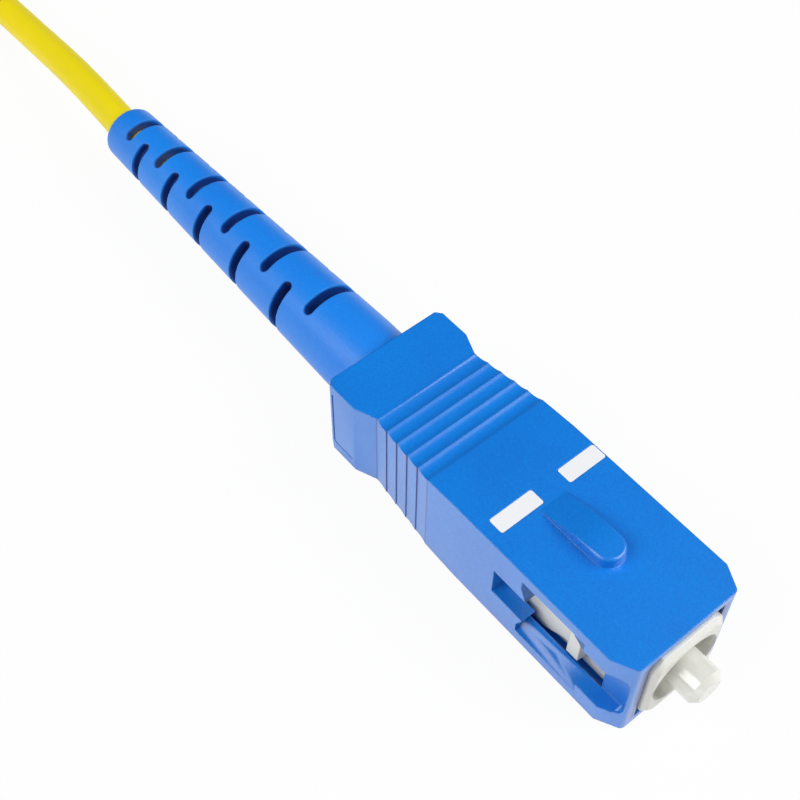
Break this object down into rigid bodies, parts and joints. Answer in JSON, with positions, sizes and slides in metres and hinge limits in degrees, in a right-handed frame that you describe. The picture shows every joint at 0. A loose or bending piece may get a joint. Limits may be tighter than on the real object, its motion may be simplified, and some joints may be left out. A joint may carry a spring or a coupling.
{
  "type": "push-pull fibre connector on a cable",
  "caption": "Push-pull single-fibre connector with a ceramic ferrule, sliding blue housing, slotted bend relief and a yellow round cable.",
  "frame": {"origin": "centre of the ferrule's polished tip", "axes": "+X the way the connector is pushed in, +Z out of the key's side, +Y to the left as the connector looks along +X"},
  "size_m": [0.1138, 0.0372, 0.0088],
  "materials": {
    "blue_moulding": "fine moulded satin",
    "white_print": "printed",
    "frame_moulding": "moulded satin",
    "zirconia": "polished",
    "nickel_plate": "nickel plated satin",
    "spring_wire": "drawn wire",
    "crimp_copper": "plated, crimped",
    "inner_plastic": "natural",
    "fibre_coating": "extruded",
    "aramid": "loose yarn, folded back and crimped",
    "boot_moulding": "soft moulded satin",
    "cable_jacket": "extruded satin"
  },
  "bodies": {
    "plug": {"plug_frame": "frame_moulding", "rear_body": "nickel_plate", "ferrule_spring": "spring_wire", "guide_tube": "inner_plastic", "fibre_buffer": "fibre_coating", "aramid_wrap": "aramid", "crimp_sleeve": "crimp_copper", "jacket_eyelet": "crimp_copper", "cable_in_boot": "cable_jacket", "boot": "boot_moulding", "cable_run": "cable_jacket", "cable_coil": "cable_jacket"},
    "ferrule_set": {"ferrule": "zirconia", "ferrule_hub": "nickel_plate"},
    "sleeve": {"outer_housing": "blue_moulding", "mark_left": "white_print", "mark_right": "white_print"}
  },
  "joints": [
    {"name": "sleeve_pull", "type": "slide", "parent": "plug", "child": "sleeve", "axis": [-1, 0, 0], "range_m": [0, 0.0016]},
    {"name": "ferrule_float", "type": "slide", "parent": "plug", "child": "ferrule_set", "axis": [-1, 0, 0], "range_m": [0, 0.0012], "stiffness_N_per_m": 3000, "springref_m": -0.0026, "deforming": ["ferrule_spring"]}
  ]
}
